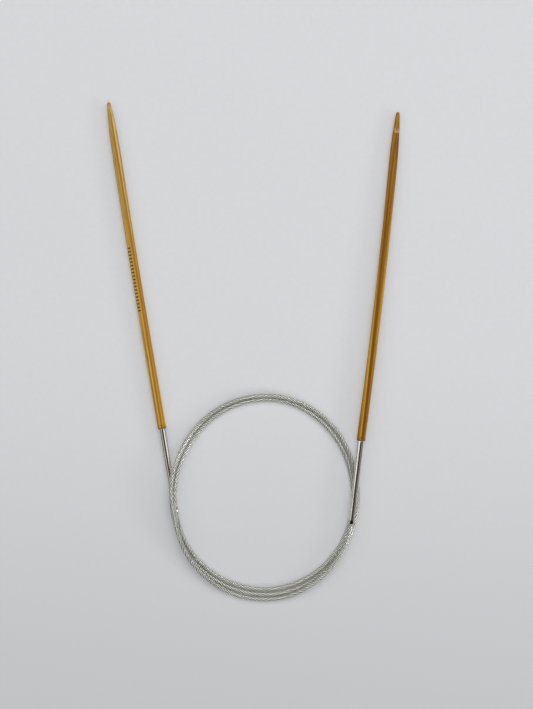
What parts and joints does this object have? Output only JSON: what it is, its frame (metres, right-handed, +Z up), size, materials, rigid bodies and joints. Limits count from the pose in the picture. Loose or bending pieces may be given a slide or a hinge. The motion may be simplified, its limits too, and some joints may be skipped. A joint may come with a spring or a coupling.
{
  "type": "circular knitting needle",
  "caption": "Circular knitting needle: pointed bamboo tips in slim metal ferrules, joined by a coated wire-rope cable that swivels in each join, lying in a loose coil.",
  "frame": {"origin": "middle of the box round the two tips, on the surface that the needle lies on", "axes": "+Z up from the surface, +Y towards the two points, +X from the left tip to the right tip"},
  "size_m": [0.104, 0.1774, 0.0057],
  "materials": {
    "bamboo": "waxed bamboo with fine lengthwise fibres",
    "ferrule_metal": "polished nickel-plated",
    "crimp_metal": "drawn",
    "rope_wire": "bright stranded wire",
    "cable_coating": "clear nylon",
    "adhesive": "cured epoxy"
  },
  "bodies": {
    "cable": {"cable_coil": "cable_coating", "cable_left_lead": "cable_coating", "cable_right_lead": "cable_coating"},
    "left_cable_end": {"left_crimp_sleeve": "crimp_metal", "left_jacket_end": "cable_coating", "left_wire_core": "rope_wire", "left_wire_strand_1": "rope_wire", "left_wire_strand_2": "rope_wire", "left_wire_strand_3": "rope_wire", "left_wire_strand_4": "rope_wire", "left_wire_strand_5": "rope_wire", "left_wire_strand_6": "rope_wire"},
    "left_tip": {"left_bamboo_shaft": "bamboo", "left_tenon_adhesive": "adhesive", "left_ferrule": "ferrule_metal"},
    "right_cable_end": {"right_crimp_sleeve": "crimp_metal", "right_jacket_end": "cable_coating", "right_wire_core": "rope_wire", "right_wire_strand_1": "rope_wire", "right_wire_strand_2": "rope_wire", "right_wire_strand_3": "rope_wire", "right_wire_strand_4": "rope_wire", "right_wire_strand_5": "rope_wire", "right_wire_strand_6": "rope_wire"},
    "right_tip": {"right_bamboo_shaft": "bamboo", "right_tenon_adhesive": "adhesive", "right_ferrule": "ferrule_metal"}
  },
  "joints": [
    {"name": "left_flex", "type": "hinge", "parent": "cable", "child": "left_cable_end", "pos_m": [-0.02757, -0.0704, 0.00149], "axis": [0, 0, 1], "range_deg": [0, 15], "stiffness_Nm_per_rad": 0.015},
    {"name": "left_swivel", "type": "hinge", "parent": "left_cable_end", "child": "left_tip", "pos_m": [-0.02757, -0.0704, 0.00149], "axis": [-0.1621, 0.9868, 0], "continuous": true},
    {"name": "right_flex", "type": "hinge", "parent": "cable", "child": "right_cable_end", "pos_m": [0.03477, -0.07484, 0.00316], "axis": [0, 0, -1], "range_deg": [0, 15], "stiffness_Nm_per_rad": 0.015},
    {"name": "right_swivel", "type": "hinge", "parent": "right_cable_end", "child": "right_tip", "pos_m": [0.03477, -0.07484, 0.00316], "axis": [0.113, 0.9935, -0.013], "continuous": true}
  ]
}
